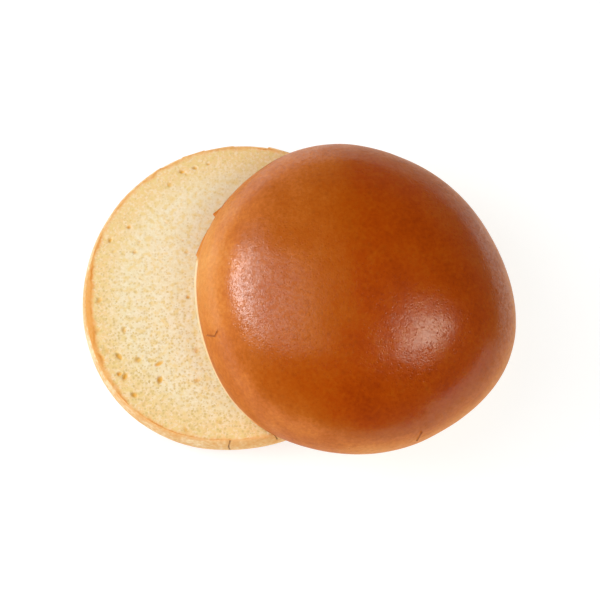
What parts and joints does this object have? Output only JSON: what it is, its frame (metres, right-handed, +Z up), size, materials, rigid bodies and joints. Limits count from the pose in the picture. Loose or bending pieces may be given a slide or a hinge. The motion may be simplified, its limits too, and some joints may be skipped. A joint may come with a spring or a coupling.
{
  "type": "bread roll",
  "caption": "Round soft bread roll with a glossy browned dome, cut across: the crown lies askew on the heel's cut face.",
  "frame": {"origin": "middle of the heel's flat underside, on the surface that the roll lies on", "axes": "+Z up, +X the way the crown has slid off the heel"},
  "size_m": [0.1456, 0.1079, 0.0543],
  "materials": {
    "crumb": "matte",
    "crust": "satin"
  },
  "bodies": {
    "root": {"heel": "crumb", "crown": "crust"}
  },
  "joints": []
}
